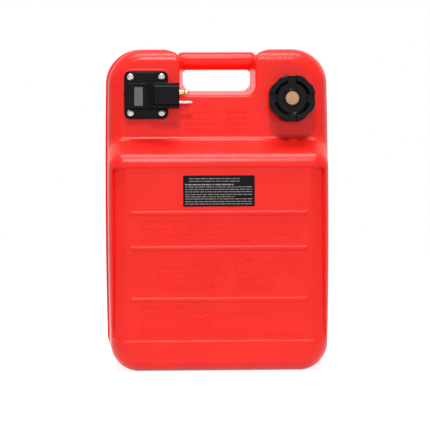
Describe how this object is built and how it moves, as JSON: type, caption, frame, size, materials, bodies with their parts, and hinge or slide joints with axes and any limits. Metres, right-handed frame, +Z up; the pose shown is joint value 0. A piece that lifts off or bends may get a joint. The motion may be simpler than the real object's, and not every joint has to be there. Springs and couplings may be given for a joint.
{
  "type": "outboard fuel tank",
  "caption": "Portable upright fuel tank for an outboard motor, with a hand hole, screw cap with vent, level gauge and fuel connector on a lowered deck.",
  "frame": {"origin": "centre of the base, on the mould's parting plane", "axes": "+Z up as the tank stands, +X to the right seen from the front, the cap and gauge face -Y"},
  "size_m": [0.34, 0.23, 0.482],
  "materials": {
    "tank_red": "satin blow-moulded polyethylene with a fine orange peel",
    "cap_black": "satin moulded black plastic",
    "head_black": "semi-gloss moulded black plastic",
    "liner_white": "plain natural plastic",
    "gasket_rubber": "matt black rubber",
    "valve_brass": "turned brass, lightly oxidised",
    "pin_steel": "turned steel",
    "screw_steel": "bright zinc-plated steel",
    "window_clear": "smoke-grey clear plastic window",
    "drum_grey": "grey moulded plastic",
    "scale_print": "pale band with plain marks",
    "float_foam": "closed-cell nitrile foam",
    "tube_plastic": "black nylon tube",
    "label_black": "black vinyl sticker, left without words"
  },
  "bodies": {
    "tank": {"tank_shell": "tank_red", "threaded_inserts": "valve_brass", "rating_label": "label_black", "gauge_flange": "head_black", "flange_gasket": "gasket_rubber", "flange_screws": "screw_steel", "gauge_lens": "window_clear", "pivot_pin": "pin_steel", "pickup_tube": "tube_plastic", "pickup_strainer": "tube_plastic", "outlet_nipple": "valve_brass", "outlet_o_ring": "gasket_rubber", "guide_pin": "pin_steel"},
    "cap_seal": {"cap_gasket": "gasket_rubber"},
    "cap": {"cap_shell": "cap_black", "cap_inner_plug": "liner_white", "vent_bush": "valve_brass"},
    "vent_ring": {"vent_seal": "gasket_rubber"},
    "vent": {"vent_screw": "valve_brass"},
    "float_arm": {"gauge_drum": "drum_grey", "dial_scale": "scale_print", "float_arm": "pin_steel", "float": "float_foam", "float_clips": "pin_steel"}
  },
  "joints": [
    {"name": "cap_advance", "type": "slide", "parent": "tank", "child": "cap_seal", "axis": [0, -1, 0], "range_m": [0, 0.018]},
    {"name": "cap_turn", "type": "hinge", "parent": "cap_seal", "child": "cap", "pos_m": [0.109, -0.07, 0.4], "axis": [0, -1, 0], "range_deg": [0, 1080]},
    {"name": "vent_advance", "type": "slide", "parent": "cap", "child": "vent_ring", "axis": [0, -1, 0], "range_m": [0, 0.0025]},
    {"name": "vent_turn", "type": "hinge", "parent": "vent_ring", "child": "vent", "pos_m": [0.109, -0.07, 0.4], "axis": [0, -1, 0], "range_deg": [0, 720]},
    {"name": "float_swing", "type": "hinge", "parent": "tank", "child": "float_arm", "pos_m": [-0.1168, -0.072, 0.4039], "axis": [1, 0, 0], "range_deg": [0, 70]}
  ],
  "couplings": [
    {"joint": "cap_advance", "follows": "cap_turn", "m_per_rad": 0.00095493},
    {"joint": "vent_advance", "follows": "vent_turn", "m_per_rad": 0.00019894}
  ]
}
